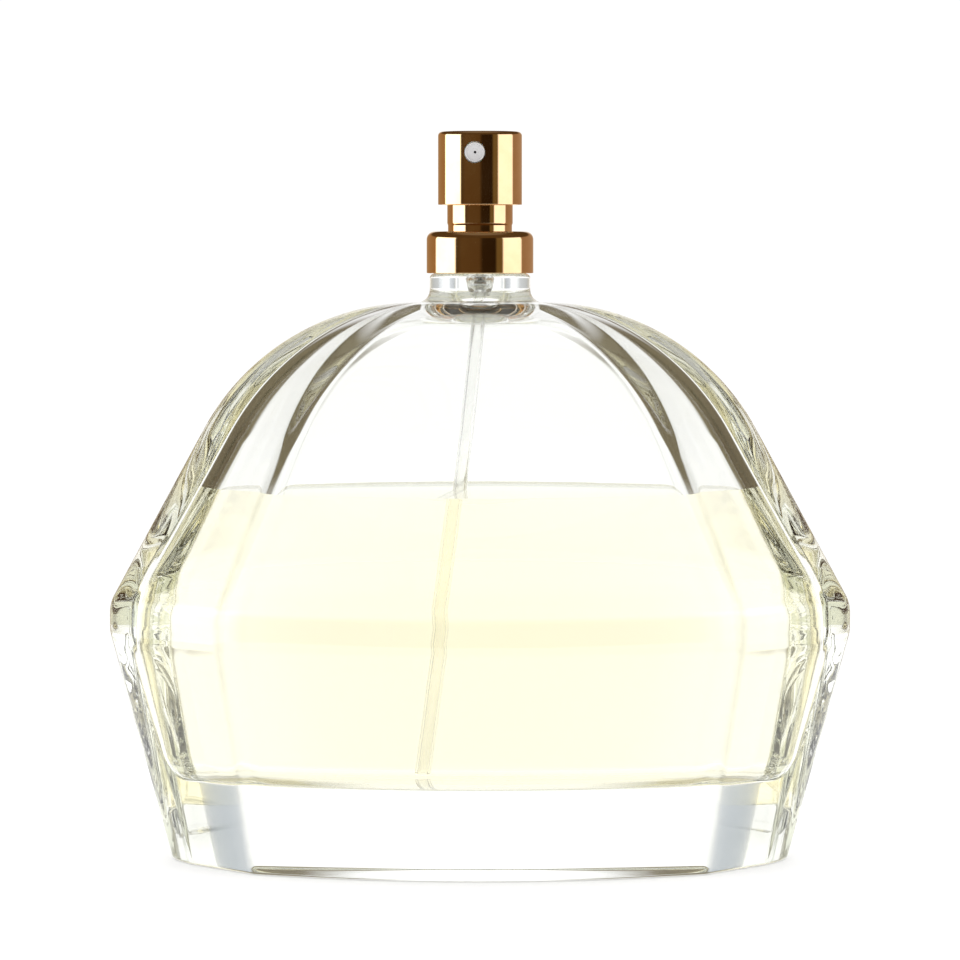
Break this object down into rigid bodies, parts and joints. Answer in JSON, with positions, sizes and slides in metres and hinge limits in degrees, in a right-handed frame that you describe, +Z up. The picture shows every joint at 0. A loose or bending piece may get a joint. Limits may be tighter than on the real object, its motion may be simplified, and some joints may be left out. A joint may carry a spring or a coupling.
{
  "type": "perfume bottle",
  "caption": "Wide faceted clear glass perfume bottle with a thick base, part full of pale yellow perfume, and a crimped gold spray pump without its cap.",
  "frame": {"origin": "centre of the bottle's flat base, on the surface that it stands on", "axes": "+Z up along the pump's axis, +X to the right along the wide face, the wide front face looks along -Y"},
  "size_m": [0.1186, 0.07, 0.1165],
  "materials": {
    "clear_glass": "gloss",
    "perfume": "polished",
    "gold": "polished",
    "steel": "satin",
    "white_plastic": "satin",
    "clear_plastic": "satin",
    "grey_seal": "matte"
  },
  "bodies": {
    "bottle": {"glass_bottle": "clear_glass", "perfume_liquid": "perfume", "dip_tube": "clear_plastic", "pump_housing": "clear_plastic", "return_spring": "steel", "neck_gasket": "grey_seal", "stem_gasket": "grey_seal", "closure_ring": "white_plastic", "ferrule": "gold", "collar": "gold"},
    "plunger": {"stem": "white_plastic", "poppet": "white_plastic", "precompression_spring": "steel"},
    "piston": {"piston": "white_plastic"},
    "ball": {"check_ball": "steel"},
    "actuator": {"actuator_insert": "white_plastic", "actuator_shell": "gold", "nozzle_insert": "white_plastic"}
  },
  "joints": [
    {"name": "pump_press", "type": "slide", "parent": "bottle", "child": "plunger", "axis": [0, 0, -1], "range_m": [0, 0.0039], "stiffness_N_per_m": 2000, "springref_m": -0.002, "deforming": ["return_spring"]},
    {"name": "actuator_swivel", "type": "hinge", "parent": "plunger", "child": "actuator", "pos_m": [0, 0, 0.1122], "axis": [0, 0, 1], "continuous": true},
    {"name": "piston_lift", "type": "slide", "parent": "plunger", "child": "piston", "axis": [0, 0, 1], "range_m": [0, 0.0004], "stiffness_N_per_m": 1500, "springref_m": -0.001, "deforming": ["precompression_spring"]},
    {"name": "ball_lift", "type": "slide", "parent": "bottle", "child": "ball", "axis": [0, 0, 1], "range_m": [0, 0.0005]}
  ]
}
